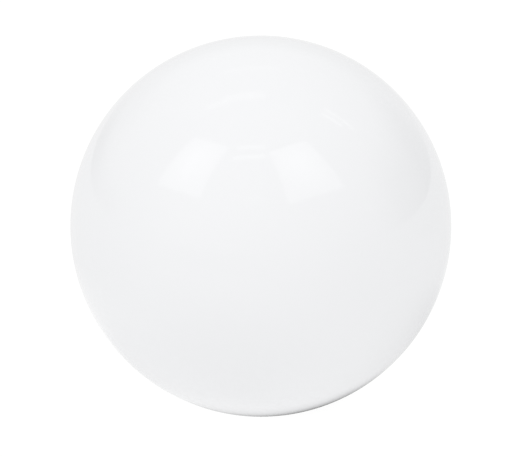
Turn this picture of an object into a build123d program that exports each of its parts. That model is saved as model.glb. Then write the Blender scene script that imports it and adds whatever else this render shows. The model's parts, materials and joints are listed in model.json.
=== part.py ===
"""Ball cap for a round tubular fence post.

A hollow gloss ball in two shells covers the end of the post. A socket inside the lower shell takes the post,
two grub screws at the back clamp it through a steel collar, and a tie screw reached from inside the socket
holds the upper shell down, so no fastener shows from the front.

Frame: millimetres, +Z up along the post's axis, -Y the front, origin at the middle of the rim the ball rests on.
"""

from build123d import *
from math import sqrt
import os

# Clearances
POST_GAP = 0.2  # radial, between post and socket
FIT_GAP = 0.1  # between parts that are pushed together once
RUN_GAP = 0.05  # around parts that turn
SPARE = 2.0  # extra depth of a cut that runs out into the open, or of a blind hole

# Ball
BALL_R = 60.0
WALL = 3.0
RIM_R = 19.8  # the ball is cut flat at this radius
RIM_FILLET = 1.0
CENTRE_Z = sqrt(BALL_R**2 - RIM_R**2)
INNER_R = BALL_R - WALL
MID_WALL_R = BALL_R - WALL / 2
TOP_Z = CENTRE_Z + BALL_R

# Post and socket
POST_R = 17.0  # 34 mm tube
BORE_R = POST_R + POST_GAP
SOCKET_R = BORE_R + 2.6
SOCKET_FOOT = 5.2
SOCKET_ROOF = 62.0  # underside of the closed end
ROOF_T = 3.5
ROOF_FILLET = 1.5
STOP_Z = 56.0  # the post's end lands here, on a rubber ring
STOP_RING_R = (9.0, BORE_R - 0.7)
SHOULDER_Z = STOP_Z + 0.1  # the bore narrows to the ring's recess here, so the ring stands proud

# Hub of the lower shell, around the opening
SEAT_Z = 7.0
LIP_R = BORE_R + 0.4
LIP_TOP = 2.8
LIP_CHAMFER = 0.6

# Rebated joint between the shells, at the widest part of the ball
TONGUE_R = BALL_R - 1.6
TONGUE_TOP = CENTRE_Z + 5.0
REBATE_R = TONGUE_R + FIT_GAP
REBATE_TOP = TONGUE_TOP + 1.5  # the equator seal fills the space above the tongue

# Clamp collar and its two M5 grub screws, each with a thrust pad
COLLAR_R = 26.0
COLLAR_TOP = SEAT_Z + 8.0
COLLAR_CHAMFER = 0.6
GRUB_Z = (SEAT_Z + COLLAR_TOP) / 2
GRUB_ANGLES = {"left": 150.0, "right": 30.0}  # about +Z, from +X
GRUB_R = 2.5
GRUB_L = 14.0
GRUB_CHAMFER = 0.4
GRUB_KEY = 2.5  # hexagon across flats
GRUB_KEY_DEPTH = 3.5
PAD_R = 2.0
PAD_FACE = BORE_R + 0.25  # radius of the pad's face when the screw is backed out
PAD_BACK = PAD_FACE + 2.0
GRUB_TIP = PAD_BACK + RUN_GAP
KEY_WAY_R = 2.8
KEY_BOSS_R = 5.0

# Socket flange and its three 4 mm self-tapping screws
FLANGE_R = 36.0
FLANGE_TOP = COLLAR_TOP + 3.0
GUSSETS = 6
GUSSET_T = 2.0
GUSSET_H = 14.0
TAP_CIRCLE = 31.0
TAP_ANGLES = {"back": 90.0, "front_left": 210.0, "front_right": 330.0}
TAP_BOSS_R = 4.0
TAP_R = 2.0
TAP_L = 10.0
TAP_TIP = 1.0
TAP_HEAD_R = 3.8
TAP_HEAD_H = 2.6
TAP_HEAD_FILLET = 1.2
TAP_WASHER_R = 4.4
TAP_SEAT = FLANGE_TOP + 0.8  # top of the washer
CROSS = (4.2, 0.9, 1.6)  # cross recess: length, width and depth

# Upper shell's pillar and ribs
PILLAR_R = 8.0
PILLAR_FOOT = SOCKET_ROOF + ROOF_T + 0.2  # the shells' rims meet before the pillar lands
RIBS = 6
RIB_T = 1.6
RIB_R = 34.0
RIB_DROP = 30.0  # how far the ribs run down the pillar

# M6 tie screw, its washer, and the insert it pulls on
TIE_R = 3.0
TIE_L = 20.0
TIE_CHAMFER = 0.6
TIE_HEAD_R = 5.0
TIE_HEAD_H = 3.6
TIE_HEAD_FILLET = 0.8
TIE_KEY = 4.0
TIE_KEY_DEPTH = 2.2
TIE_HOLE_R = TIE_R + 0.2
TIE_WASHER_R = 8.0
TIE_SEAT = SOCKET_ROOF - 1.2  # underside of the washer
INSERT_R = 4.3
INSERT_L = 12.0


def disc(radius, low, high):
    """Upright cylinder between two heights."""
    return Pos(0, 0, (low + high) / 2) * Cylinder(radius, high - low)


def ring(inner, outer, low, high):
    """Upright ring between two heights."""
    return disc(outer, low, high) - disc(inner, low - SPARE, high + SPARE)


def ball(radius):
    """Solid sphere on the ball's centre."""
    return Pos(0, 0, CENTRE_Z) * Sphere(radius)


def hex_bar(flats, low, high):
    """Upright hexagonal bar, the shape of a key recess."""
    bar = extrude(RegularPolygon(flats / 2, 6, major_radius=False), high - low)
    return Pos(0, 0, low) * bar


def circles(shape, radius):
    """Circular edges of one radius."""
    return [e for e in shape.edges().filter_by(GeomType.CIRCLE) if abs(e.radius - radius) < 0.01]


def plate(outline, thickness):
    """Upright plate on the XZ plane, from the corners of its outline."""
    return extrude(Plane.XZ * make_face(Polyline(*outline, close=True)), thickness / 2, both=True)


def grub_line(angle, shape):
    """Turns an upright shape on to a grub screw's axis: its +Z points out from the post."""
    return Rot(0, 0, angle) * Pos(0, 0, GRUB_Z) * Rot(0, 90, 0) * shape


def tap_line(angle, shape):
    """Moves a shape from the post's axis to a flange screw's axis."""
    return Rot(0, 0, angle) * Pos(TAP_CIRCLE, 0, 0) * shape


def lower_shell():
    """Lower half of the ball, with its hub, its tongue, two key ways and three screw bosses."""
    shell = ball(BALL_R) & disc(BALL_R, 0, CENTRE_Z)
    shell -= ball(INNER_R) & disc(BALL_R, SEAT_Z, TOP_Z)
    shell += ring(INNER_R, TONGUE_R, CENTRE_Z, TONGUE_TOP)
    shell -= disc(SOCKET_R + FIT_GAP, LIP_TOP, SEAT_Z + SPARE)
    shell -= disc(LIP_R, -SPARE, LIP_TOP + SPARE)
    shell = fillet(circles(shell, RIM_R), RIM_FILLET)
    mouth = [e for e in circles(shell, LIP_R) if e.center().Z < LIP_TOP / 2]
    shell = chamfer(mouth, LIP_CHAMFER)

    room = ball(MID_WALL_R) & disc(BALL_R, 0, COLLAR_TOP)
    for angle in GRUB_ANGLES.values():
        shell += grub_line(angle, disc(KEY_BOSS_R, COLLAR_R + FIT_GAP, BALL_R)) & room
        shell -= grub_line(angle, disc(KEY_WAY_R, SOCKET_R, BALL_R))
    for angle in TAP_ANGLES.values():
        shell += tap_line(angle, disc(TAP_BOSS_R, 0, COLLAR_TOP)) & room
        shell -= tap_line(angle, disc(TAP_R, TAP_SEAT - TAP_L - FIT_GAP, COLLAR_TOP + SPARE))
    return shell


def upper_shell():
    """Upper half of the ball, with its rebate, and the pillar that ribs tie to the crown."""
    shell = (ball(BALL_R) - ball(INNER_R)) & disc(BALL_R, CENTRE_Z, TOP_Z)
    shell -= disc(REBATE_R, CENTRE_Z - SPARE, REBATE_TOP)

    room = ball(MID_WALL_R)
    shell += disc(PILLAR_R, PILLAR_FOOT, TOP_Z) & room
    rib_foot = TOP_Z - RIB_DROP
    rib_end = CENTRE_Z + sqrt(INNER_R**2 - RIB_R**2) - RIB_T
    rib = plate([(0, TOP_Z), (RIB_R, TOP_Z), (RIB_R, rib_end), (PILLAR_R, rib_foot), (0, rib_foot)], RIB_T)
    for i in range(RIBS):
        shell += (Rot(0, 0, 360 / RIBS * i) * rib) & room
    return shell - disc(INSERT_R, PILLAR_FOOT - SPARE, TIE_SEAT + TIE_L + SPARE)


def equator_seal():
    """Flat rubber ring between the tongue and the roof of the rebate."""
    return ring(INNER_R, TONGUE_R, TONGUE_TOP, REBATE_TOP)


def post_socket():
    """Moulded cup for the post, with a flange on gussets and two ways for the thrust pads."""
    cup = disc(SOCKET_R, SOCKET_FOOT, SOCKET_ROOF + ROOF_T)
    cup = fillet([e for e in circles(cup, SOCKET_R) if e.center().Z > SOCKET_ROOF], ROOF_FILLET)
    cup += disc(FLANGE_R, COLLAR_TOP, FLANGE_TOP)
    gusset_top = FLANGE_TOP + GUSSET_H
    gusset = plate([(0, FLANGE_TOP), (FLANGE_R, FLANGE_TOP), (SOCKET_R, gusset_top), (0, gusset_top)], GUSSET_T)
    for i in range(GUSSETS):
        cup += Rot(0, 0, 360 / GUSSETS * i) * gusset
    cup -= disc(BORE_R, 0, SHOULDER_Z)
    cup -= disc(STOP_RING_R[1] + FIT_GAP, 0, SOCKET_ROOF)
    cup -= disc(TIE_HOLE_R, 0, TOP_Z)
    for angle in GRUB_ANGLES.values():
        cup -= grub_line(angle, disc(KEY_WAY_R, 0, SOCKET_R + SPARE))
    for angle in TAP_ANGLES.values():
        cup -= tap_line(angle, disc(TAP_R + FIT_GAP, 0, FLANGE_TOP + SPARE))
    return cup


def clamp_collar():
    """Steel ring that holds the grub screws' threads."""
    collar = ring(SOCKET_R + FIT_GAP, COLLAR_R, SEAT_Z, COLLAR_TOP)
    collar = chamfer(circles(collar, COLLAR_R), COLLAR_CHAMFER)
    for angle in GRUB_ANGLES.values():
        collar -= grub_line(angle, disc(GRUB_R + RUN_GAP, 0, COLLAR_R + SPARE))
    return collar


def mouth_seal():
    """Wiper ring in the opening, with a lip that meets the post all round."""
    lip = (POST_R, (LIP_TOP + SOCKET_FOOT) / 2)
    outline = [(SOCKET_R, LIP_TOP), (SOCKET_R, SOCKET_FOOT), (BORE_R, SOCKET_FOOT), lip, (BORE_R, LIP_TOP)]
    return revolve(Plane.XZ * make_face(Polyline(*outline, close=True)), Axis.Z)


def post_top_pad():
    """Rubber ring at the end of the socket, where the post's end lands."""
    return ring(*STOP_RING_R, STOP_Z, SOCKET_ROOF)


def thrust_pad(angle):
    """Swivelling foot of a grub screw."""
    return grub_line(angle, disc(PAD_R, PAD_FACE, PAD_BACK))


def grub_screw(angle):
    """Grub screw on its thread's outer diameter, with the key recess in its outer end."""
    screw = disc(GRUB_R, GRUB_TIP, GRUB_TIP + GRUB_L)
    screw = chamfer(circles(screw, GRUB_R), GRUB_CHAMFER)
    screw -= hex_bar(GRUB_KEY, GRUB_TIP + GRUB_L - GRUB_KEY_DEPTH, GRUB_TIP + GRUB_L + SPARE)
    return grub_line(angle, screw)


def flange_screw(angle):
    """Pan-head self-tapping screw that holds the socket's flange down."""
    shank = disc(TAP_R, TAP_SEAT - TAP_L, TAP_SEAT)
    shank = chamfer([e for e in circles(shank, TAP_R) if e.center().Z < FLANGE_TOP], TAP_TIP)
    head = disc(TAP_HEAD_R, TAP_SEAT, TAP_SEAT + TAP_HEAD_H)
    head = fillet([e for e in circles(head, TAP_HEAD_R) if e.center().Z > TAP_SEAT], TAP_HEAD_FILLET)
    length, width, depth = CROSS
    recess = Box(length, width, depth * 2) + Box(width, length, depth * 2)
    head -= Pos(0, 0, TAP_SEAT + TAP_HEAD_H) * recess
    return tap_line(angle, shank + head)


def flange_washer(angle):
    """Plain washer under a flange screw's head."""
    return tap_line(angle, ring(TAP_R + FIT_GAP, TAP_WASHER_R, FLANGE_TOP, TAP_SEAT))


def tie_screw():
    """Socket screw, head down in the socket, that pulls the upper shell on to the lower one."""
    shank = disc(TIE_R, TIE_SEAT, TIE_SEAT + TIE_L)
    shank = chamfer([e for e in circles(shank, TIE_R) if e.center().Z > TIE_SEAT], TIE_CHAMFER)
    foot = TIE_SEAT - TIE_HEAD_H
    head = disc(TIE_HEAD_R, foot, TIE_SEAT)
    head = fillet([e for e in circles(head, TIE_HEAD_R) if e.center().Z < TIE_SEAT], TIE_HEAD_FILLET)
    return shank + head - hex_bar(TIE_KEY, foot - SPARE, foot + TIE_KEY_DEPTH)


def tie_washer():
    """Wide washer between the tie screw's head and the socket's closed end."""
    return ring(TIE_HOLE_R, TIE_WASHER_R, TIE_SEAT, SOCKET_ROOF)


def dome_insert():
    """Brass insert in the foot of the pillar, on its thread's outer diameter."""
    return ring(TIE_R, INSERT_R, PILLAR_FOOT, PILLAR_FOOT + INSERT_L)


def cap_parts():
    """Every piece of the cap, by node name."""
    parts = {
        "lower_shell": lower_shell(),
        "upper_shell": upper_shell(),
        "equator_seal": equator_seal(),
        "post_socket": post_socket(),
        "clamp_collar": clamp_collar(),
        "mouth_seal": mouth_seal(),
        "post_top_pad": post_top_pad(),
        "tie_screw": tie_screw(),
        "tie_washer": tie_washer(),
        "dome_insert": dome_insert(),
    }
    for side, angle in GRUB_ANGLES.items():
        parts[f"grub_screw_{side}"] = grub_screw(angle)
        parts[f"thrust_pad_{side}"] = thrust_pad(angle)
    for place, angle in TAP_ANGLES.items():
        parts[f"flange_screw_{place}"] = flange_screw(angle)
        parts[f"flange_washer_{place}"] = flange_washer(angle)
    return parts


os.makedirs("parts", exist_ok=True)
for name, part in cap_parts().items():
    export_step(part, f"parts/{name}.step")
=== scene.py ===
"""Looks of the ball cap: a gloss white ball on a white floor, with every hidden piece finished as well.

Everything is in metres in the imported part's frame: +Z up along the post, -Y the front.
"""

import json
from math import atan, atan2, cos, pi, radians, sin, sqrt, tau

import bmesh
import bpy
from mathutils import Matrix, Vector


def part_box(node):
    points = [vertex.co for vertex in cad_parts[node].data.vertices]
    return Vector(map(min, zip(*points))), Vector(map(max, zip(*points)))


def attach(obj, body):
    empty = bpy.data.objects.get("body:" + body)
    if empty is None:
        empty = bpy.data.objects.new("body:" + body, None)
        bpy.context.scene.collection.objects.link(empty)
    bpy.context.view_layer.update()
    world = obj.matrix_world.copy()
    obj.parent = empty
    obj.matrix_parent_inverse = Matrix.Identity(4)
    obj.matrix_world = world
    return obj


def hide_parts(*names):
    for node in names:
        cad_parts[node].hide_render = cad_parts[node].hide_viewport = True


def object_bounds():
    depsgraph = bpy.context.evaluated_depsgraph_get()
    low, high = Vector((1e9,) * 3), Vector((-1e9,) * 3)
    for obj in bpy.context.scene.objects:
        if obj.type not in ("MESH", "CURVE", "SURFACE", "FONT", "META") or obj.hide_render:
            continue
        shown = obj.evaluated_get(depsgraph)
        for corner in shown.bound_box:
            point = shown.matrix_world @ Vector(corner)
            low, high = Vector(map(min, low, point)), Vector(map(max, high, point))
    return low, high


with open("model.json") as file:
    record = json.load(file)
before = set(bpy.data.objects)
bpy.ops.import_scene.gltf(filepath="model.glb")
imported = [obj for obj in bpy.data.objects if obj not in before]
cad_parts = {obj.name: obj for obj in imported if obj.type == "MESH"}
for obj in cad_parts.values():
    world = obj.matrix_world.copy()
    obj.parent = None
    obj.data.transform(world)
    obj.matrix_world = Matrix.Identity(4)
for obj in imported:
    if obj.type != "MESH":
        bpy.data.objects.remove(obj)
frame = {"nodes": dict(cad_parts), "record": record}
cad_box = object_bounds()

MM = 0.001
ON_AXIS = 1e-9  # less than this from the axis, or between two radii, is none
UPRIGHT = Matrix.Identity(4)

# Mesh fineness: segments round an axis
SHELL_TURNS = 256
RING_TURNS = 128
SCREW_TURNS = 48
KNURL_TURNS = 4  # to each knurl
ARC_STEP = tau / SHELL_TURNS
SLIVER = 0.001 * MM
ON_SPHERE = 0.02 * MM  # how close a point counts as on one of the ball's spheres

# Edges
EASE = 0.2 * MM  # how far a moulded or machined edge is rounded back
FINE_EASE = 0.1 * MM
EASED_SHARE = 0.45  # the most of an edge that the rounding at one end may take

# The ball
CENTRE_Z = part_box("upper_shell")[0].z
BALL_R = cad_box[1].z - CENTRE_Z
WALL = 3 * MM
INNER_R = BALL_R - WALL
MID_WALL_R = BALL_R - WALL / 2
RIM_FILLET = 1 * MM
RIM_STEPS = 4
FIT_GAP = 0.1 * MM
SPARE = 2 * MM  # how far a cut runs on into the open

# Rebated joint between the shells, from the seal in it
TONGUE_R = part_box("equator_seal")[1].x
TONGUE_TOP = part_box("equator_seal")[0].z
REBATE_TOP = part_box("equator_seal")[1].z

# Hub round the opening, from the pieces that fill it
SEAL_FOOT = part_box("mouth_seal")[0].z
SEAL_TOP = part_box("mouth_seal")[1].z
SOCKET_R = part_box("mouth_seal")[1].x
BORE_R = SOCKET_R - 2.6 * MM
POST_R = BORE_R - 0.2 * MM
LIP_R = BORE_R + 0.4 * MM
LIP_CHAMFER = 0.6 * MM
SEAT_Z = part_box("clamp_collar")[0].z
COLLAR_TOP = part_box("clamp_collar")[1].z
COLLAR_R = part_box("clamp_collar")[1].x
COLLAR_BEVEL = 0.6 * MM

# Socket
SOCKET_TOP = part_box("post_socket")[1].z
FLANGE_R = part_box("post_socket")[1].x
ROOF_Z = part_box("post_top_pad")[1].z
STOP_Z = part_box("post_top_pad")[0].z
STOP_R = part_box("post_top_pad")[1].x
SHOULDER_Z = STOP_Z + FIT_GAP
GUSSETS = 6
GUSSET_T = 2 * MM
GUSSET_H = 14 * MM
GUSSET_ROOT = 1 * MM  # how far a gusset runs on into the cup
SOCKET_EASE = 0.6 * MM
SEAL_BEAD = 0.3 * MM
SEAL_STEPS = 8
GROOVE = 1 * MM
PAD_WIDTH = 7.5 * MM
PAD_GROOVES = (2.5 * MM, 5 * MM)  # out from the ring's inner edge

# Grub screws
SIDES = ("left", "right")
GRUB_R = 2.5 * MM
GRUB_PITCH = 0.8 * MM
GRUB_DEPTH = 0.43 * MM
GRUB_CHAMFER = 0.4 * MM
THREAD_GAP = 0.05 * MM
GRUB_TIP = 0.6 * MM
PAD_R = 2 * MM
PAD_WAIST = 0.3 * MM  # depth of the groove round a thrust pad
GRUB_KEY = (2.5 * MM, 3.5 * MM)  # hexagon across flats, and depth
LEAD_IN = (1.1, 0.3)  # radius and depth of the cone at a key's mouth, as shares of the hexagon's radius
KEY_WAY_R = 2.8 * MM
KEY_BOSS_R = 5 * MM

# Flange screws
PLACES = ("back", "front_left", "front_right")
TAP_R = 2 * MM
TAP_BOSS_R = 4 * MM
TAP_PITCH = 1.6 * MM
TAP_DEPTH = 0.55 * MM
TAP_CREST = 0.06  # shares of the pitch: a sharp crest, and a wide root
TAP_ROOT = 0.5
TAP_HEAD_R = 3.8 * MM
TAP_DOME = 1.2 * MM
DOME_STEPS = 6
TAP_TIP = 1 * MM
TAP_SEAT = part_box("flange_washer_back")[1].z
FLANGE_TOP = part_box("flange_washer_back")[0].z
CROSS = (4.2 * MM, 0.9 * MM, 1.6 * MM)  # cross recess: length, width and depth

# Tie screw, its washer and its insert, and the pillar that holds the insert
TIE_R = 3 * MM
TIE_PITCH = 1 * MM
TIE_DEPTH = 0.54 * MM
TIE_KNURLS = 36
INSERT_KNURLS = 40
INSERT_GROOVE = 0.5 * MM
INSERT_BEVEL = 0.4 * MM
KNURL_DEPTH = 0.2 * MM
KNURL_RIM = 0.5 * MM  # plain rim beside the knurls
SHANK_ROOT = 0.6 * MM  # how far a shank runs on into its head
WASHER_ROLL = 0.4  # how far a washer's edges are rolled over, as a share of its thickness
TIE_CHAMFER = 0.6 * MM
TIE_KEY = (4 * MM, 2.2 * MM)
TIE_HOLE_R = TIE_R + 0.2 * MM
TIE_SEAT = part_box("tie_washer")[0].z
INSERT_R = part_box("dome_insert")[1].x
PILLAR_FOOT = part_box("dome_insert")[0].z
PILLAR_R = 8 * MM
RIBS = 6
RIB_T = 1.6 * MM
RIB_R = 34 * MM
RIB_DROP = 30 * MM

# Camera, from the ball's place and size in the picture
LENS = 200  # a long lens, in millimetres
SENSOR = 36
VIEW_RISE = radians(17)
BALL_WIDTH = 0.7478  # these three are shares of the picture's width
BALL_RIGHT = 0.0114
BALL_ABOVE = 0.0049

# Studio. Softboxes by azimuth from the camera's side and elevation, in degrees, with their width and
# height as shares of their distance. They lean back, roll and turn about their own middle, in degrees.
SOFTBOX_AWAY = 3.0
SOFTBOX_GLOW = (1.22, 0.64)  # in its middle and at its edge
SOFTBOXES = {
    "left": {"at": (-59.2, 46.3), "size": (0.485, 0.653), "lean": 11, "roll": -5.6, "turn": 23.2},
    "right": {"at": (36, 51), "size": (0.503, 0.777), "lean": 3.8, "roll": 7.1, "turn": -5.7},
}

# The room the ball mirrors. Its walls: azimuth and elevation of a patch's middle, half its width and
# height, and how far its edges fade, all in degrees, and how much brighter than the room it is.
ROOM_GLOW = 0.96
BURNT_WHITE = 1.05  # what the camera sees of the room and of the floor
WALLS = {
    "doorway": {"at": (112, 8), "half": (15, 8), "fade": (25, 20), "gain": -0.4},
    "table_end": {"at": (-125, 3), "half": (20, 3), "fade": (16, 7), "gain": -0.15},
    "rear": {"at": (180, 8), "half": (40, 12), "fade": (20, 12), "gain": -0.09},
    "rear_high": {"at": (180, 45), "half": (60, 12), "fade": (30, 15), "gain": 0.05},
    "rear_left": {"at": (-110, 25), "half": (30, 15), "fade": (20, 20), "gain": -0.06},
    "left": {"at": (-35, 25), "half": (20, 18), "fade": (25, 20), "gain": 0.1},
}

# Its ceiling lamps, in the same way, in shares of the ceiling's height from above the ball
LAMPS = {
    "front": {"at": (-0.11, -1.52), "half": (0.14, 0.04), "gain": 0.5},
    "between_near": {"at": (-0.14, -0.615), "half": (0.18, 0.025), "gain": 0.65},
    "between_far": {"at": (-0.1, -0.475), "half": (0.14, 0.025), "gain": 0.6},
    "above": {"at": (-0.13, 0.2), "half": (0.16, 0.045), "gain": 0.4},
    "above_left": {"at": (-0.37, 0.165), "half": (0.08, 0.025), "gain": 0.5},
    "rear": {"at": (-0.07, 0.73), "half": (0.21, 0.04), "gain": 0.2},
    "right_far": {"at": (0.77, 0.22), "half": (0.21, 0.014), "gain": 0.8},
    "right_near": {"at": (0.67, 0.13), "half": (0.13, 0.014), "gain": 0.8},
}
LAMP_FADE = (0.01, 0.01)
LAMP_HORIZON = 0.05  # no lamp shows lower than this share of the way up

# Floor: its own glow as the ball mirrors it, and round patches of painted light and painted shadow in
# that glow.
# In millimetres, a patch's middle and the radii where its edge starts to fade and ends, and then how
# much it adds.
FLOOR_SIZE = 40
FLOOR_GREYS = (0.25, 0.255)
FLOOR_CLOUD = 0.4  # size of the faint clouds in its grey
FLOOR_GLOW = 0.67
FLOOR_BURN = 0.94  # how much of it the camera sees burnt out
# painted light and painted shadow in the floor's glow: a pool of light round the ball (near), brighter
# floor further off, and the ball's shadow beside, behind and in front of its foot
PAINTED_FLOOR_PATCHES = {
    "near": {"at": (0, 0), "reach": (60, 160), "gain": 0.15},
    "painted_shadow_right_of_foot": {"at": (62, 12), "reach": (20, 75), "gain": -0.21},
    "painted_shadow_behind_right": {"at": (90, 50), "reach": (20, 60), "gain": -0.07},
    "painted_shade_left_of_foot": {"at": (-55, -5), "reach": (10, 45), "gain": -0.12},
    "front": {"at": (-20, -85), "reach": (20, 80), "gain": -0.1},
    "front_left": {"at": (-170, -220), "reach": (60, 200), "gain": 0.1},
    "painted_light_far_right": {"at": (260, 10), "reach": (60, 150), "gain": 0.08},
}
PAINTED_CONTACT_SHADOW = (  # painted contact shadow: where both of these reach, under the ball, the floor doesn't glow
    {"at": (11, -3), "reach": (12, 38)},
    {"at": (0, 25), "reach": (47, 56)},
)


# Mesh building


def arc(radius, start, end):
    """Points (distance from axis, height) on one of the ball's spheres, by angle from straight down."""
    steps = max(1, round(abs(end - start) / ARC_STEP))
    angles = [start + (end - start) * i / steps for i in range(steps + 1)]
    return [(radius * sin(a), CENTRE_Z - radius * cos(a)) for a in angles]


def polar(radius, height):
    """Angle from straight down at which one of the ball's spheres is at a height."""
    drop = CENTRE_Z - height
    return atan2(sqrt(radius**2 - drop**2), drop)


def eased(corners, reach=EASE, steps=3):
    """Closed outline with its corners rounded back."""
    outline = []
    for i, corner in enumerate(corners):
        here = Vector(corner)
        back = Vector(corners[i - 1]) - here
        ahead = Vector(corners[(i + 1) % len(corners)]) - here
        start = here + back.normalized() * min(reach, back.length * EASED_SHARE)
        end = here + ahead.normalized() * min(reach, ahead.length * EASED_SHARE)
        for k in range(steps + 1):
            t = k / steps
            outline.append(tuple(start.lerp(here, t).lerp(here.lerp(end, t), t)))
    return outline


def on_axis_eased(corners):
    """Eased outline of a solid piece, whose first and last corners stay on the axis."""
    off_axis = [point for point in eased(corners) if point[0] > ON_AXIS]
    return off_axis + [corners[-1], corners[0]]


def section(inner, outer, low, high):
    """Corners of a ring's section."""
    return [(inner, low), (outer, low), (outer, high), (inner, high)]


def lathe(outline, turns=RING_TURNS, dip=None):
    """Solid of revolution about +Z from a closed outline. dip(angle, radius) lessens the radius."""
    shape = bmesh.new()
    rings = []
    for radius, height in outline:
        if radius < ON_AXIS:
            rings.append([shape.verts.new((0, 0, height))] * turns)
            continue
        ring = []
        for i in range(turns):
            angle = tau * i / turns
            r = radius - (dip(angle, radius) if dip else 0)
            ring.append(shape.verts.new((r * cos(angle), r * sin(angle), height)))
        rings.append(ring)
    for near, far in zip(rings, rings[1:] + rings[:1]):
        for i in range(turns):
            j = (i + 1) % turns
            corners = list(dict.fromkeys([near[i], near[j], far[j], far[i]]))
            if len(corners) > 2:
                shape.faces.new(corners)
    bmesh.ops.recalc_face_normals(shape, faces=shape.faces)
    return shape


def knurling(radius, count):
    """Dip of straight knurls in the parts of an outline at a radius."""

    def dip(angle, r):
        if r < radius - ON_AXIS:
            return 0
        return KNURL_DEPTH * abs((angle / tau * count * 2) % 2 - 1)

    return dip


def rod(radius, low, high, turns=SCREW_TURNS):
    """Upright cylinder to cut or join with."""
    return lathe([(0, low), (radius, low), (radius, high), (0, high)], turns)


def prism(outline, low, high):
    """Upright prism from a closed outline of (x, y), to cut or join with."""
    shape = bmesh.new()
    foot = shape.faces.new([shape.verts.new((x, y, low)) for x, y in outline])
    lifted = bmesh.ops.extrude_face_region(shape, geom=[foot])["geom"]
    verts = [v for v in lifted if isinstance(v, bmesh.types.BMVert)]
    bmesh.ops.translate(shape, verts=verts, vec=(0, 0, high - low))
    bmesh.ops.recalc_face_normals(shape, faces=shape.faces)
    return shape


def bar(length, width, low, high):
    """Upright bar on the axis."""
    x, y = length / 2, width / 2
    return prism([(-x, -y), (x, -y), (x, y), (-x, y)], low, high)


def taper_bar(length, width, low, high):
    """Bar that narrows to a third of its length at its foot, for two wings of a cross recess."""
    shape = bar(length, width, low, high)
    for vert in shape.verts:
        if vert.co.z < (low + high) / 2:
            vert.co.x /= 3
    return shape


def hex_bar(flats, low, high):
    """Upright hexagonal bar, the shape of a key recess."""
    corner = flats / sqrt(3)
    return prism([(corner * cos(tau * i / 6), corner * sin(tau * i / 6)) for i in range(6)], low, high)


def fin(outline, thickness):
    """Upright plate on the XZ plane, from an outline of (distance from axis, height)."""
    shape = prism(outline, -thickness / 2, thickness / 2)
    bmesh.ops.rotate(shape, verts=shape.verts, matrix=Matrix.Rotation(pi / 2, 3, "X"))
    return shape


def threaded_rod(radius, pitch, depth, low, high, crest=0.125, root=0.125):
    """Rod with a right-hand thread, a turn too long at each end. crest and root: shares of the pitch."""
    flank = (1 - crest - root) / 2
    steps = [(0, 0), (crest, 0), (crest + flank, depth), (crest + flank + root, depth)]
    windings = round((high - low) / pitch) + 2
    start = low - pitch
    shape = bmesh.new()
    grid = []
    for i in range(windings * SCREW_TURNS + 1):
        angle = tau * i / SCREW_TURNS
        rise = start + pitch * i / SCREW_TURNS
        column = []
        for share, sunk in steps:
            r = radius - sunk
            column.append(shape.verts.new((r * cos(angle), r * sin(angle), rise + pitch * share)))
        grid.append(column)
    for i in range(len(grid) - 1):
        here, after = grid[i], grid[i + 1]
        for k in range(len(steps) - 1):
            shape.faces.new([here[k], after[k], after[k + 1], here[k + 1]])
        if i + 1 + SCREW_TURNS < len(grid):
            above, above_after = grid[i + SCREW_TURNS], grid[i + 1 + SCREW_TURNS]
            shape.faces.new([here[-1], after[-1], above_after[0], above[0]])
    middle = (low + high) / 2
    open_edges = [e for e in shape.edges if e.is_boundary]
    for tip_z, side in ((start - pitch, -1), (high + 3 * pitch, 1)):
        tip = shape.verts.new((0, 0, tip_z))
        for edge in open_edges:
            if (edge.verts[0].co.z - middle) * side > 0:
                shape.faces.new([*edge.verts, tip])
    bmesh.ops.recalc_face_normals(shape, faces=shape.faces)
    return shape


def as_object(name, shape, place=UPRIGHT):
    """Scene object from a bmesh, which stays in its own axes."""
    mesh = bpy.data.meshes.new(name)
    shape.to_mesh(mesh)
    shape.free()
    made = bpy.data.objects.new(name, mesh)
    made.matrix_world = place
    bpy.context.scene.collection.objects.link(made)
    return made


def combine(body, operation, tool):
    """Joins a tool object to a body, cuts it away, or keeps what they share, and removes the tool."""
    step = body.modifiers.new("combine", "BOOLEAN")
    step.operation = operation
    step.solver = "MANIFOLD"
    step.object = tool
    bpy.context.view_layer.update()
    seen = body.evaluated_get(bpy.context.evaluated_depsgraph_get())
    mesh = bpy.data.meshes.new_from_object(seen)
    body.modifiers.clear()
    body.data = mesh
    bpy.data.objects.remove(tool)


def join(body, shape, place=UPRIGHT):
    combine(body, "UNION", as_object("tool", shape, place))


def cut(body, shape, place=UPRIGHT):
    combine(body, "DIFFERENCE", as_object("tool", shape, place))


def keep(body, shape, place=UPRIGHT):
    combine(body, "INTERSECT", as_object("tool", shape, place))


def smooth(piece, sharp_over=radians(32)):
    """Closes up the slivers that cutting leaves, and shades smoothly with a crease at real edges."""
    shape = bmesh.new()
    shape.from_mesh(piece.data)
    bmesh.ops.dissolve_degenerate(shape, dist=SLIVER, edges=shape.edges)
    shape.to_mesh(piece.data)
    shape.free()
    piece.data.shade_smooth()
    piece.data.set_sharp_from_angle(angle=sharp_over)


def true_sphere_normals(piece):
    """Gives faces on the ball's two spheres their exact normals, so that reflections don't ripple."""
    centre = Vector((0, 0, CENTRE_Z))
    mesh = piece.data
    normals = [Vector((0, 0, 0))] * len(mesh.loops)
    for face in mesh.polygons:
        arms = [mesh.vertices[v].co - centre for v in face.vertices]
        for radius, way in ((BALL_R, 1), (INNER_R, -1)):
            if all(abs(arm.length - radius) < ON_SPHERE for arm in arms):
                for loop, arm in zip(face.loop_indices, arms):
                    normals[loop] = arm.normalized() * way
    mesh.normals_split_custom_set(normals)


# Materials


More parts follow.
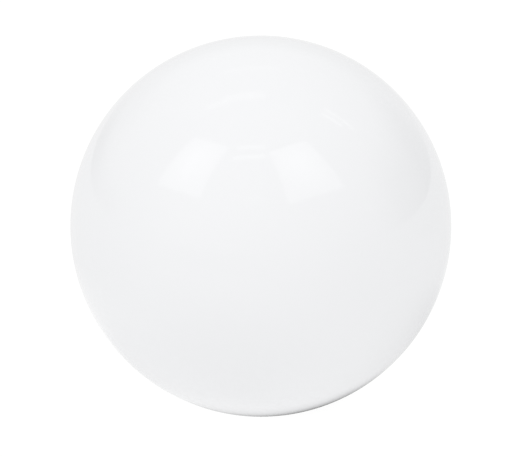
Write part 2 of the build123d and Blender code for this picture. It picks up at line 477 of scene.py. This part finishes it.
def node(tree, kind, inputs=None, **settings):
    """Adds a shader node. An input is a value, or the socket that feeds it."""
    made = tree.nodes.new(kind)
    for name, value in settings.items():
        setattr(made, name, value)
    for name, value in (inputs or {}).items():
        if isinstance(value, bpy.types.NodeSocket):
            tree.links.new(value, made.inputs[name])
        else:
            made.inputs[name].default_value = value
    return made


def calc(tree, operation, first, second=0.0):
    """One step of arithmetic."""
    return node(tree, "ShaderNodeMath", {0: first, 1: second}, operation=operation).outputs[0]


def blank(name):
    """New material with only the object's own coordinates in it."""
    material = bpy.data.materials.new(name)
    material.use_nodes = True
    tree = material.node_tree
    tree.nodes.clear()
    place = node(tree, "ShaderNodeTexCoord").outputs["Object"]
    return material, tree, place


def noise(tree, place, size, detail=3):
    """Noise from 0 to 1 with features of about that size."""
    made = node(tree, "ShaderNodeTexNoise", {"Vector": place, "Scale": 1 / size, "Detail": detail})
    return made.outputs["Fac"]


def spread(tree, value, low, high, start=0.3, end=0.7):
    """Maps start to end, by default a noise's usual range, on to low to high."""
    inputs = {"Value": value, "From Min": start, "From Max": end, "To Min": low, "To Max": high}
    return node(tree, "ShaderNodeMapRange", inputs).outputs["Result"]


def distance(tree, place, spot):
    """Distance from a fixed spot."""
    return node(tree, "ShaderNodeVectorMath", {0: place, 1: spot}, operation="DISTANCE").outputs["Value"]


def tint(tree, value, dark, light):
    """Colour between two, by a value from 0 to 1."""
    made = node(tree, "ShaderNodeMix", data_type="RGBA")
    tree.links.new(value, made.inputs[0])
    made.inputs[6].default_value = (*dark, 1)
    made.inputs[7].default_value = (*light, 1)
    return made.outputs[2]


def bump(tree, height, depth):
    """Bump normal from a height of 0 to 1 and its real depth."""
    return node(tree, "ShaderNodeBump", {"Height": height, "Distance": depth}).outputs["Normal"]


def surface(tree, **inputs):
    """Principled shader to the output. Names are the shader's own, with _ for a space."""
    named = {name.replace("_", " "): value for name, value in inputs.items()}
    shader = node(tree, "ShaderNodeBsdfPrincipled", named)
    output = node(tree, "ShaderNodeOutputMaterial")
    tree.links.new(shader.outputs["BSDF"], output.inputs["Surface"])


def ball_plastic():
    """Polished white moulding: a faint cloud in its colour and gloss, and scuffs round the opening."""
    material, tree, place = blank("ball_plastic")
    height = node(tree, "ShaderNodeSeparateXYZ", {"Vector": place}).outputs["Z"]
    near_rim = spread(tree, height, 1, 0, 0, 3 * MM)
    scuffs = spread(tree, noise(tree, place, 0.8 * MM, detail=8), 0, 0.25, 0.5, 0.7)
    gloss = spread(tree, noise(tree, place, 4 * MM, detail=6), 0.02, 0.04)
    surface(
        tree,
        Base_Color=tint(tree, noise(tree, place, 30 * MM), (0.838, 0.843, 0.855), (0.848, 0.853, 0.865)),
        Roughness=calc(tree, "ADD", gloss, calc(tree, "MULTIPLY", near_rim, scuffs)),
        Normal=bump(tree, noise(tree, place, 9 * MM, detail=1), 0.0004 * MM),
        IOR=1.5,
    )
    return material


def moulded(name, dark, light, roughness, grain=0.25 * MM, depth=0.015 * MM):
    """Moulded plastic or rubber with a fine matt grain."""
    material, tree, place = blank(name)
    fine = noise(tree, place, grain, detail=4)
    surface(
        tree,
        Base_Color=tint(tree, noise(tree, place, 12 * MM), dark, light),
        Roughness=spread(tree, fine, roughness - 0.08, roughness + 0.08),
        Normal=bump(tree, fine, depth),
        IOR=1.5,
    )
    return material


def turned(name, dark, light, roughness):
    """Metal with tool marks that run round the piece's own axis, and duller patches."""
    material, tree, place = blank(name)
    parts = node(tree, "ShaderNodeSeparateXYZ", {"Vector": place})
    x, y, z = parts.outputs
    flat = node(tree, "ShaderNodeCombineXYZ", {"X": x, "Y": y}).outputs[0]
    out = distance(tree, flat, (0, 0, 0))
    profile = node(tree, "ShaderNodeCombineXYZ", {"X": out, "Z": z}).outputs[0]
    patches = noise(tree, place, 3 * MM, detail=5)
    surface(
        tree,
        Base_Color=tint(tree, patches, dark, light),
        Metallic=1.0,
        Roughness=spread(tree, patches, roughness - 0.06, roughness + 0.1),
        Normal=bump(tree, noise(tree, profile, 0.12 * MM, detail=2), 0.004 * MM),
    )
    return material


def painted_floor_patch(tree, place, at, reach, gain):
    """Brightness that a soft-edged round patch of the floor's glow adds: painted light where its gain is
    above 0, painted shadow where it is below.
    """
    away = distance(tree, place, (at[0] * MM, at[1] * MM, 0))
    return spread(tree, away, gain, 0, reach[0] * MM, reach[1] * MM)


def floor_finish():
    """White floor, with painted light and painted shadow in its glow. The camera sees it nearly burnt
    out, and the ball mirrors it as it is.
    """
    material, tree, place = blank("floor")
    material.cycles.emission_sampling = "NONE"  # less noise: its glow is found by the rays that reach it
    dark, light = ((grey, grey, grey) for grey in FLOOR_GREYS)
    colour = tint(tree, noise(tree, place, FLOOR_CLOUD), dark, light)
    paint = node(tree, "ShaderNodeBsdfDiffuse", {"Color": colour}).outputs[0]
    # the floor's glow, with the painted light and painted shadow of its patches added
    strength = FLOOR_GLOW
    for facts in PAINTED_FLOOR_PATCHES.values():
        strength = calc(tree, "ADD", painted_floor_patch(tree, place, **facts), strength)
    # painted contact shadow under the ball: the floor's glow falls to nothing where both patches reach
    shades = [painted_floor_patch(tree, place, gain=1, **facts) for facts in PAINTED_CONTACT_SHADOW]
    outside_painted_shadow = calc(tree, "SUBTRACT", 1, calc(tree, "MULTIPLY", *shades))
    strength = calc(tree, "MULTIPLY", calc(tree, "MAXIMUM", strength), outside_painted_shadow)
    glow = node(tree, "ShaderNodeEmission", {"Strength": strength}).outputs[0]
    lit = node(tree, "ShaderNodeAddShader", {0: paint, 1: glow}).outputs[0]
    burnt = node(tree, "ShaderNodeEmission", {"Strength": BURNT_WHITE}).outputs[0]
    eye = node(tree, "ShaderNodeLightPath").outputs["Is Camera Ray"]
    share = calc(tree, "MULTIPLY", eye, FLOOR_BURN)
    seen = node(tree, "ShaderNodeMixShader", {0: share, 1: lit, 2: burnt})
    output = node(tree, "ShaderNodeOutputMaterial")
    tree.links.new(seen.outputs[0], output.inputs["Surface"])
    return material


LOOKS = {
    "ball_plastic": ball_plastic(),
    "socket_plastic": moulded("socket_plastic", (0.035, 0.037, 0.04), (0.05, 0.052, 0.056), 0.5),
    "seal_rubber": moulded("seal_rubber", (0.012, 0.012, 0.013), (0.022, 0.022, 0.023), 0.75, 0.4 * MM),
    "pad_nylon": moulded("pad_nylon", (0.68, 0.66, 0.58), (0.75, 0.73, 0.66), 0.4),
    "collar_steel": turned("collar_steel", (0.5, 0.51, 0.53), (0.62, 0.62, 0.62), 0.34),
    "screw_steel": turned("screw_steel", (0.55, 0.54, 0.52), (0.64, 0.63, 0.61), 0.26),
    "washer_steel": turned("washer_steel", (0.52, 0.52, 0.51), (0.62, 0.62, 0.61), 0.3),
    "grub_steel": turned("grub_steel", (0.02, 0.021, 0.024), (0.045, 0.046, 0.05), 0.38),
    "insert_brass": turned("insert_brass", (0.62, 0.42, 0.16), (0.76, 0.56, 0.26), 0.3),
}


# Places of the screws


def box_middle(name):
    """Middle of a CAD node's box."""
    low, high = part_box(name)
    return (low + high) / 2


def grub_place(side):
    """Turns an upright shape on to a grub screw's axis, with its +Z out from the post."""
    centre = box_middle(f"grub_screw_{side}")
    turn = Matrix.Rotation(atan2(centre.y, centre.x), 4, "Z") @ Matrix.Rotation(pi / 2, 4, "Y")
    return Matrix.Translation((0, 0, centre.z)) @ turn


def ends_along(name, place):
    """Lowest and highest point of a CAD node along a place's own Z."""
    back = place.inverted()
    heights = [(back @ v.co).z for v in frame["nodes"][name].data.vertices]
    return min(heights), max(heights)


def tap_place(spot):
    """Moves an upright shape from the post's axis to a flange screw's axis."""
    centre = box_middle(f"flange_washer_{spot}")
    turn = Matrix.Rotation(atan2(centre.y, centre.x), 4, "Z")
    return Matrix.Translation((centre.x, centre.y, 0)) @ turn


# Pieces


def lower_shell():
    """Lower half of the ball, with its hub, its tongue, two key ways and three screw bosses."""
    fillet_r = sqrt((BALL_R - RIM_FILLET) ** 2 - (CENTRE_Z - RIM_FILLET) ** 2)
    fillet_end = atan2(fillet_r, CENTRE_Z - RIM_FILLET)
    angles = [fillet_end * i / RIM_STEPS for i in range(RIM_STEPS)]
    rim = [(fillet_r + RIM_FILLET * sin(a), RIM_FILLET - RIM_FILLET * cos(a)) for a in angles]
    hub_r = SOCKET_R + FIT_GAP
    tongue = [(TONGUE_R, CENTRE_Z), (TONGUE_R, TONGUE_TOP), (INNER_R, TONGUE_TOP)]
    lip = [(LIP_R, SEAL_FOOT), (LIP_R, LIP_CHAMFER), (LIP_R + LIP_CHAMFER, 0)]
    hub = [(hub_r, SEAT_Z), (hub_r, SEAL_FOOT), *lip]
    outside = arc(BALL_R, fillet_end, pi / 2)
    inside = arc(INNER_R, pi / 2, polar(INNER_R, SEAT_Z))
    shell = as_object("ball_lower_half", lathe(rim + outside + tongue + inside + hub, SHELL_TURNS))

    inside_wall = arc(MID_WALL_R, 0, polar(MID_WALL_R, COLLAR_TOP)) + [(0, COLLAR_TOP)]
    for side in SIDES:
        boss = as_object("boss", rod(KEY_BOSS_R, COLLAR_R + FIT_GAP, BALL_R), grub_place(side))
        keep(boss, lathe(inside_wall, SHELL_TURNS))
        combine(shell, "UNION", boss)
        cut(shell, rod(KEY_WAY_R, SOCKET_R, BALL_R), grub_place(side))
    for spot in PLACES:
        boss = as_object("boss", rod(TAP_BOSS_R, 0, COLLAR_TOP), tap_place(spot))
        keep(boss, lathe(inside_wall, SHELL_TURNS))
        combine(shell, "UNION", boss)
        pilot_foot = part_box(f"flange_screw_{spot}")[0].z - FIT_GAP
        cut(shell, rod(TAP_R, pilot_foot, COLLAR_TOP + SPARE), tap_place(spot))
    return shell


def upper_shell():
    """Upper half of the ball, with its rebate, and the pillar that ribs tie to the crown."""
    top = CENTRE_Z + BALL_R
    rebate_r = TONGUE_R + FIT_GAP
    rebate = [(rebate_r, REBATE_TOP), (rebate_r, CENTRE_Z)]
    outline = arc(BALL_R, pi / 2, pi) + arc(INNER_R, pi, polar(INNER_R, REBATE_TOP)) + rebate
    shell = as_object("ball_upper_half", lathe(outline, SHELL_TURNS))

    pillar = as_object("pillar", rod(PILLAR_R, PILLAR_FOOT, top, RING_TURNS))
    rib_foot = top - RIB_DROP
    rib_end = CENTRE_Z + sqrt(INNER_R**2 - RIB_R**2) - RIB_T
    rib = [(0, top), (RIB_R, top), (RIB_R, rib_end), (PILLAR_R, rib_foot), (0, rib_foot)]
    for i in range(RIBS):
        join(pillar, fin(rib, RIB_T), Matrix.Rotation(tau * i / RIBS, 4, "Z"))
    keep(pillar, lathe(arc(MID_WALL_R, 0, pi), SHELL_TURNS))
    combine(shell, "UNION", pillar)
    cut(shell, rod(INSERT_R, PILLAR_FOOT - SPARE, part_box("tie_screw")[1].z + SPARE, RING_TURNS))
    return shell


def ring_piece(name, outline, place=UPRIGHT, turns=RING_TURNS):
    """Piece turned round its own axis, with its edges eased."""
    return as_object(name, lathe(eased(outline), turns), place)


def equator_seal():
    """Rubber ring above the tongue, with a bead that meets the rebate's roof."""
    mid_r = (INNER_R + TONGUE_R) / 2
    shoulder = REBATE_TOP - SEAL_BEAD
    angles = [pi * i / SEAL_STEPS for i in range(SEAL_STEPS + 1)]
    bead = [(mid_r + SEAL_BEAD * cos(a), shoulder + SEAL_BEAD * sin(a)) for a in angles]
    ring = eased(section(INNER_R, TONGUE_R, TONGUE_TOP, shoulder), FINE_EASE)
    last_corner = len(ring) // 4 * 3
    outline = ring[:last_corner] + bead + ring[last_corner:]
    return as_object("equator_seal_ring", lathe(outline, SHELL_TURNS))


def mouth_seal():
    """Wiper ring with a lip that meets the post all round."""
    lip = (POST_R, (SEAL_FOOT + SEAL_TOP) / 2)
    corners = [(SOCKET_R, SEAL_FOOT), (SOCKET_R, SEAL_TOP), (BORE_R, SEAL_TOP), lip, (BORE_R, SEAL_FOOT)]
    return ring_piece("mouth_seal_ring", corners)


def post_top_pad():
    """Rubber ring with two grooves in the face that the post lands on."""
    inner = STOP_R - PAD_WIDTH
    corners = [(inner, STOP_Z)]
    for groove in PAD_GROOVES:
        left, right = inner + groove - GROOVE / 2, inner + groove + GROOVE / 2
        corners += [(left, STOP_Z), (left, STOP_Z + GROOVE), (right, STOP_Z + GROOVE), (right, STOP_Z)]
    corners += [(STOP_R, STOP_Z), (STOP_R, ROOF_Z), (inner, ROOF_Z)]
    return ring_piece("post_landing_pad", corners)


def post_socket():
    """Moulded cup for the post, with a flange on gussets and two ways for the thrust pads."""
    stop_r = STOP_R + FIT_GAP
    foot = [(BORE_R, SEAL_TOP), (SOCKET_R, SEAL_TOP), (SOCKET_R, COLLAR_TOP)]
    flange = [(FLANGE_R, COLLAR_TOP), (FLANGE_R, FLANGE_TOP), (SOCKET_R, FLANGE_TOP)]
    roof = [(SOCKET_R, SOCKET_TOP), (TIE_HOLE_R, SOCKET_TOP), (TIE_HOLE_R, ROOF_Z)]
    bore = [(stop_r, ROOF_Z), (stop_r, SHOULDER_Z), (BORE_R, SHOULDER_Z)]
    cup = as_object("post_socket_cup", lathe(eased(foot + flange + roof + bore, SOCKET_EASE)))
    gusset_top = FLANGE_TOP + GUSSET_H
    low, root = FLANGE_TOP - GUSSET_ROOT, SOCKET_R - GUSSET_ROOT
    tip = FLANGE_R - SOCKET_EASE
    gusset = [(root, low), (tip, low), (tip, FLANGE_TOP), (SOCKET_R, gusset_top), (root, gusset_top)]
    for i in range(GUSSETS):
        join(cup, fin(gusset, GUSSET_T), Matrix.Rotation(tau * i / GUSSETS, 4, "Z"))
    for side in SIDES:
        cut(cup, rod(KEY_WAY_R, 0, SOCKET_R + SPARE), grub_place(side))
    for spot in PLACES:
        cut(cup, rod(TAP_R + FIT_GAP, SEAT_Z, FLANGE_TOP + SPARE), tap_place(spot))
    return cup


def clamp_collar():
    """Steel ring with chamfered edges and the two holes for the grub screws."""
    inner = SOCKET_R + FIT_GAP
    flat_r = COLLAR_R - COLLAR_BEVEL
    foot = [(inner, SEAT_Z), (flat_r, SEAT_Z), (COLLAR_R, SEAT_Z + COLLAR_BEVEL)]
    top = [(COLLAR_R, COLLAR_TOP - COLLAR_BEVEL), (flat_r, COLLAR_TOP), (inner, COLLAR_TOP)]
    collar = as_object("clamp_collar_ring", lathe(eased(foot + top, FINE_EASE)))
    for side in SIDES:
        cut(collar, rod(GRUB_R + THREAD_GAP, SOCKET_R - SPARE, COLLAR_R + SPARE), grub_place(side))
    return collar


def washer(cad_node, hole_r, place):
    """Stamped washer, with its edges rolled over."""
    low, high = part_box(cad_node)
    outer = (high.x - low.x) / 2
    outline = eased(section(hole_r, outer, low.z, high.z), (high.z - low.z) * WASHER_ROLL)
    return as_object(f"{cad_node}_disc", lathe(outline), place)


def thrust_pad(side):
    """Nylon foot: a flat face with a rounded edge, and a groove round its waist."""
    place = grub_place(side)
    face, back = ends_along(f"thrust_pad_{side}", place)
    waist = (face + back) / 2
    sides = [(PAD_R, waist - PAD_WAIST), (PAD_R - PAD_WAIST, waist), (PAD_R, waist + PAD_WAIST)]
    corners = [(0, face), (PAD_R, face), *sides, (PAD_R, back), (0, back)]
    return as_object(f"thrust_pad_{side}_foot", lathe(on_axis_eased(corners), SCREW_TURNS), place)


def grub_screw(side):
    """Grub screw with its thread, chamfered ends and key recess."""
    place = grub_place(side)
    tip, end = ends_along(f"grub_screw_{side}", place)
    flats, depth = GRUB_KEY
    shank = threaded_rod(GRUB_R, GRUB_PITCH, GRUB_DEPTH, tip, end)
    screw = as_object(f"grub_screw_{side}_body", shank, place)
    tip_r = GRUB_R - GRUB_TIP
    point = [(0, tip), (tip_r, tip), (GRUB_R, tip + GRUB_TIP)]
    rim = [(GRUB_R, end - GRUB_CHAMFER), (GRUB_R - GRUB_CHAMFER, end), (0, end)]
    keep(screw, lathe(point + rim, SCREW_TURNS), place)
    cut(screw, hex_bar(flats, end - depth, end + SPARE), place)
    cone_r, cone_depth = (share * flats / sqrt(3) for share in LEAD_IN)
    lead_in = [(0, end - cone_depth), (cone_r, end + EASE / 2), (0, end + EASE / 2)]
    cut(screw, lathe(lead_in, SCREW_TURNS), place)
    return screw


def flange_screw(spot):
    """Pan-head self-tapping screw with a cross recess."""
    cad_node = f"flange_screw_{spot}"
    low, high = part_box(cad_node)
    place = tap_place(spot)
    root = TAP_SEAT + SHANK_ROOT
    shank = threaded_rod(TAP_R, TAP_PITCH, TAP_DEPTH, low.z, root, TAP_CREST, TAP_ROOT)
    screw = as_object(f"{cad_node}_body", shank, place)
    tip = [(0, low.z), (TAP_R - TAP_TIP, low.z), (TAP_R, low.z + TAP_TIP)]
    keep(screw, lathe([*tip, (TAP_R, root), (0, root)], SCREW_TURNS), place)
    angles = [pi / 2 * i / DOME_STEPS for i in range(DOME_STEPS + 1)]
    flat_r, crown = TAP_HEAD_R - TAP_DOME, high.z - TAP_DOME
    dome = [(flat_r + TAP_DOME * sin(a), crown + TAP_DOME * cos(a)) for a in angles]
    underside = [(TAP_HEAD_R, TAP_SEAT + EASE), (TAP_HEAD_R - EASE, TAP_SEAT), (0, TAP_SEAT)]
    join(screw, lathe([(0, high.z), *dome, *underside]), place)
    length, width, depth = CROSS
    for quarter in (0, pi / 2):
        wing = taper_bar(length, width, high.z - depth, high.z + SPARE)
        cut(screw, wing, place @ Matrix.Rotation(quarter, 4, "Z"))
    return screw


def tie_screw():
    """Socket screw, head down, with its thread and key recess."""
    low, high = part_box("tie_screw")
    flats, depth = TIE_KEY
    root = TIE_SEAT - SHANK_ROOT
    screw = as_object("tie_screw_body", threaded_rod(TIE_R, TIE_PITCH, TIE_DEPTH, root, high.z))
    tip = [(TIE_R, high.z - TIE_CHAMFER), (TIE_R - TIE_CHAMFER, high.z), (0, high.z)]
    keep(screw, lathe([(0, root), (TIE_R, root), *tip], SCREW_TURNS))
    head_r = (high.x - low.x) / 2
    knurl_low, knurl_high = low.z + KNURL_RIM, TIE_SEAT - EASE
    rim = [(0, low.z), (head_r - KNURL_RIM, low.z), (head_r, knurl_low)]
    head = [*rim, (head_r, knurl_high), (head_r - EASE, TIE_SEAT), (0, TIE_SEAT)]
    join(screw, lathe(head, TIE_KNURLS * KNURL_TURNS, dip=knurling(head_r, TIE_KNURLS)))
    cut(screw, hex_bar(flats, low.z - SPARE, low.z + depth))
    return screw


def dome_insert():
    """Brass insert with two knurled bands, and a plain bore on its thread's outer diameter."""
    low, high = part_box("dome_insert")
    band = (high.z - low.z) / 3
    groove_r = INSERT_R - INSERT_GROOVE
    low_band = [(INSERT_R, low.z + INSERT_BEVEL), (INSERT_R, low.z + band)]
    groove = [(groove_r, low.z + band + INSERT_BEVEL), (groove_r, high.z - band - INSERT_BEVEL)]
    high_band = [(INSERT_R, high.z - band), (INSERT_R, high.z - INSERT_BEVEL)]
    foot, top = [(TIE_R, low.z), (groove_r, low.z)], [(groove_r, high.z), (TIE_R, high.z)]
    outline = foot + low_band + groove + high_band + top
    shape = lathe(outline, INSERT_KNURLS * KNURL_TURNS, dip=knurling(INSERT_R, INSERT_KNURLS))
    return as_object("dome_insert_body", shape)


def show(piece, body, cad_node, slot):
    """Finishes a piece: its shading, its material, and what it stands for."""
    smooth(piece)
    piece.data.materials.clear()
    piece.data.materials.append(LOOKS[slot])
    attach(piece, body)
    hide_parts(cad_node)


# Studio


def direction(azimuth, elevation):
    """Unit vector by azimuth from the camera's side, towards +X, and elevation."""
    flat = cos(elevation)
    return Vector((sin(azimuth) * flat, -cos(azimuth) * flat, sin(elevation)))


def camera():
    """Long lens a little above the ball, framed as in the picture."""
    data = bpy.data.cameras.new("camera")
    data.lens = LENS
    data.sensor_width = SENSOR
    data.shift_x = -BALL_RIGHT
    data.shift_y = -BALL_ABOVE
    half = atan(BALL_WIDTH * SENSOR / 2 / LENS)
    back = direction(0, VIEW_RISE)
    made = bpy.data.objects.new("camera", data)
    made.location = Vector((0, 0, CENTRE_Z)) + back * (BALL_R / sin(half))
    made.rotation_euler = (-back).to_track_quat("-Z", "Y").to_euler()
    bpy.context.scene.collection.objects.link(made)
    bpy.context.scene.camera = made


def softbox(name, at, size, lean, roll, turn):
    """Rectangular light that faces the ball but for its lean, roll and turn, brightest in its middle."""
    data = bpy.data.lights.new(f"softbox_{name}", "AREA")
    data.shape = "RECTANGLE"
    data.size = size[0] * SOFTBOX_AWAY
    data.size_y = size[1] * SOFTBOX_AWAY
    data.energy = pi * data.size * data.size_y
    data.use_nodes = True
    tree = data.node_tree
    tree.nodes.clear()
    place = node(tree, "ShaderNodeNewGeometry").outputs["Parametric"]
    away = distance(tree, place, (0.5, 0.5, 0))
    glow = node(tree, "ShaderNodeEmission", {"Strength": spread(tree, away, *SOFTBOX_GLOW, 0, 0.5)})
    output = node(tree, "ShaderNodeOutputLight")
    tree.links.new(glow.outputs[0], output.inputs["Surface"])
    made = bpy.data.objects.new(f"softbox_{name}", data)
    azimuth, elevation = at
    spot = Vector((0, 0, CENTRE_Z)) + direction(radians(azimuth), radians(elevation)) * SOFTBOX_AWAY
    facing = Matrix.Rotation(radians(azimuth + turn), 4, "Z")
    tipped = Matrix.Rotation(radians(90 - lean), 4, "X") @ Matrix.Rotation(radians(roll), 4, "Z")
    made.matrix_world = Matrix.Translation(spot) @ facing @ tipped
    made.visible_camera = False
    bpy.context.scene.collection.objects.link(made)


def patch(tree, offsets, half, fade, gain):
    """Brightness that a soft-edged rectangle adds, from the distances across and along to its middle."""
    shares = []
    for offset, reach, edge in zip(offsets, half, fade):
        size = calc(tree, "ABSOLUTE", offset)
        shares.append(spread(tree, size, 1, 0, reach, reach + edge))
    return calc(tree, "MULTIPLY", calc(tree, "MULTIPLY", *shares), gain)


def room():
    """Bright room round the floor, with the walls and the ceiling lamps that show in the ball."""
    world = bpy.data.worlds.new("room")
    world.use_nodes = True
    world.cycles.sampling_method = "NONE"  # less noise, as for the floor
    tree = world.node_tree
    tree.nodes.clear()
    way = node(tree, "ShaderNodeTexCoord").outputs["Generated"]
    right, back, up = node(tree, "ShaderNodeSeparateXYZ", {"Vector": way}).outputs
    front = calc(tree, "MULTIPLY", back, -1)
    azimuth = calc(tree, "DEGREES", calc(tree, "ARCTAN2", right, front))
    elevation = calc(tree, "DEGREES", calc(tree, "ARCSINE", up))
    brightness = ROOM_GLOW
    for facts in WALLS.values():
        x, y = facts["at"]
        turned_from = calc(tree, "SUBTRACT", azimuth, x)
        wrapped = node(tree, "ShaderNodeMath", {0: turned_from, 1: 180, 2: -180}, operation="WRAP")
        offsets = (wrapped.outputs[0], calc(tree, "SUBTRACT", elevation, y))
        added = patch(tree, offsets, facts["half"], facts["fade"], facts["gain"])
        brightness = calc(tree, "ADD", added, brightness)
    height = calc(tree, "MAXIMUM", up, LAMP_HORIZON)
    across = calc(tree, "DIVIDE", right, height)
    along = calc(tree, "DIVIDE", back, height)
    for facts in LAMPS.values():
        x, y = facts["at"]
        offsets = (calc(tree, "SUBTRACT", across, x), calc(tree, "SUBTRACT", along, y))
        added = patch(tree, offsets, facts["half"], LAMP_FADE, facts["gain"])
        brightness = calc(tree, "ADD", added, brightness)
    white = (1, 1, 1, 1)
    lit = node(tree, "ShaderNodeBackground", {"Color": white, "Strength": brightness}).outputs[0]
    burnt = node(tree, "ShaderNodeBackground", {"Color": white, "Strength": BURNT_WHITE}).outputs[0]
    eye = node(tree, "ShaderNodeLightPath").outputs["Is Camera Ray"]
    light = node(tree, "ShaderNodeMixShader", {0: eye, 1: lit, 2: burnt})
    output = node(tree, "ShaderNodeOutputWorld")
    tree.links.new(light.outputs[0], output.inputs["Surface"])
    bpy.context.scene.world = world


def floor():
    """The white floor."""
    shape = bmesh.new()
    bmesh.ops.create_grid(shape, x_segments=8, y_segments=8, size=FLOOR_SIZE / 2)
    made = as_object("floor", shape)
    made.data.materials.append(floor_finish())


PIECES = [
    (lower_shell, (), "cap", "lower_shell"),
    (upper_shell, (), "cap", "upper_shell"),
    (equator_seal, (), "cap", "equator_seal"),
    (mouth_seal, (), "cap", "mouth_seal"),
    (post_top_pad, (), "cap", "post_top_pad"),
    (post_socket, (), "cap", "post_socket"),
    (clamp_collar, (), "cap", "clamp_collar"),
    (tie_screw, (), "cap", "tie_screw"),
    (washer, ("tie_washer", TIE_HOLE_R, UPRIGHT), "cap", "tie_washer"),
    (dome_insert, (), "cap", "dome_insert"),
]
for side in SIDES:
    PIECES.append((grub_screw, (side,), f"{side}_screw", f"grub_screw_{side}"))
    PIECES.append((thrust_pad, (side,), f"{side}_pad", f"thrust_pad_{side}"))
for spot in PLACES:
    PIECES.append((flange_screw, (spot,), "cap", f"flange_screw_{spot}"))
    disc = f"flange_washer_{spot}"
    PIECES.append((washer, (disc, TAP_R + FIT_GAP, tap_place(spot)), "cap", disc))

SLOTS = {row["node"]: row["material_slot"] for row in frame["record"]["subparts"]}
for build, facts, body, cad_node in PIECES:
    piece = build(*facts)
    show(piece, body, cad_node, SLOTS[cad_node])
    if build in (lower_shell, upper_shell):
        true_sphere_normals(piece)

camera()
for name, facts in SOFTBOXES.items():
    softbox(name, **facts)
room()
floor()
bpy.context.scene.view_settings.view_transform = "Standard"
